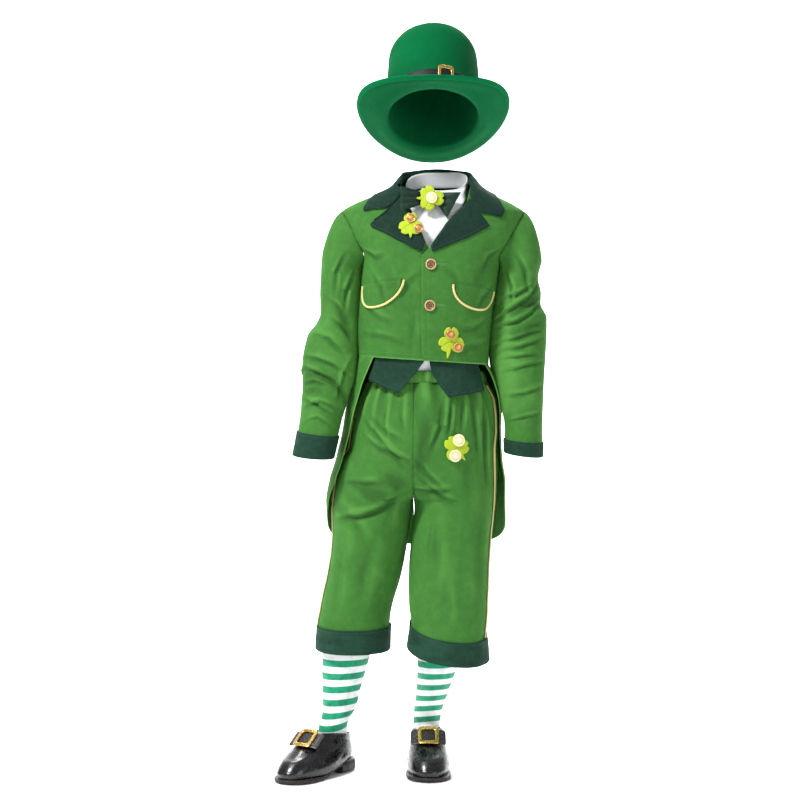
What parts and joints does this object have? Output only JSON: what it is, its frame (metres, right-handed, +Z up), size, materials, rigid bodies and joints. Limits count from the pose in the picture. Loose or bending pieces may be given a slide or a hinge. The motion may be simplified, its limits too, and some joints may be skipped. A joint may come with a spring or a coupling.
{
  "type": "leprechaun costume",
  "caption": "Hollow worn form of a child's leprechaun costume: tipped felt hat, tailcoat, mock waistcoat points, bow tie, shirt front, knee breeches, striped stockings and buckled shoes.",
  "frame": {"origin": "middle of the neck opening, at the height where the coat's collar is sewn to the neck edge", "axes": "+Z up, -Y out of the costume's front, +X towards the wearer's left arm"},
  "size_m": [0.4848, 0.307, 1.3497],
  "materials": {
    "coat": "leaf green soft twill with a brushed face",
    "trim": "bottle green suede-like short nap",
    "shirt": "white plain weave",
    "felt": "emerald green pressed felt",
    "ribbon": "black satin-faced band",
    "gold": "bright gold-coloured buckle",
    "braid": "pale gold braid and piping",
    "button": "copper brown with a paler rim",
    "shamrock": "lime-yellow felt",
    "cream": "cream, smooth",
    "copper": "coppery gold, smooth",
    "stocking": "fine knit with teal and white stripes",
    "leather": "black, polished",
    "sole": "black-brown, matt",
    "strap": "dark brown, embossed"
  },
  "bodies": {
    "root": {"hat_crown": "felt", "hat_brim": "felt", "hat_band": "ribbon", "hat_buckle": "gold", "coat_front_right": "coat", "coat_front_left": "coat", "coat_back": "coat", "coat_tail_right": "coat", "coat_tail_left": "coat", "sleeve_right": "coat", "sleeve_left": "coat", "cuff_right": "trim", "cuff_left": "trim", "lapel_right": "trim", "lapel_left": "trim", "coat_collar": "trim", "pocket_right": "coat", "pocket_left": "coat", "pocket_piping_right": "braid", "pocket_piping_left": "braid", "button_1": "button", "button_2": "button", "waistcoat_point_right": "trim", "waistcoat_point_left": "trim", "shirt_front": "shirt", "shirt_collar": "shirt", "bow_wing_right": "trim", "bow_wing_left": "trim", "bow_knot": "trim", "breeches_front_right": "coat", "breeches_front_left": "coat", "breeches_back_right": "coat", "breeches_back_left": "coat", "hem_band_right": "trim", "hem_band_left": "trim", "side_braid_right": "braid", "side_braid_left": "braid", "waistband": "coat", "shamrock_bow": "shamrock", "shamrock_lapel": "shamrock", "shamrock_coat": "shamrock", "shamrock_breeches": "shamrock", "stud_bow_1": "cream", "stud_lapel_1": "copper", "stud_lapel_2": "copper", "stud_coat_1": "copper", "stud_coat_2": "copper", "stud_breeches_1": "cream", "stud_breeches_2": "cream", "stocking_right": "stocking", "stocking_left": "stocking", "shoe_upper_right": "leather", "shoe_upper_left": "leather", "shoe_sole_right": "sole", "shoe_sole_left": "sole", "shoe_strap_right": "strap", "shoe_strap_left": "strap", "shoe_buckle_right": "gold", "shoe_buckle_left": "gold"}
  },
  "joints": []
}
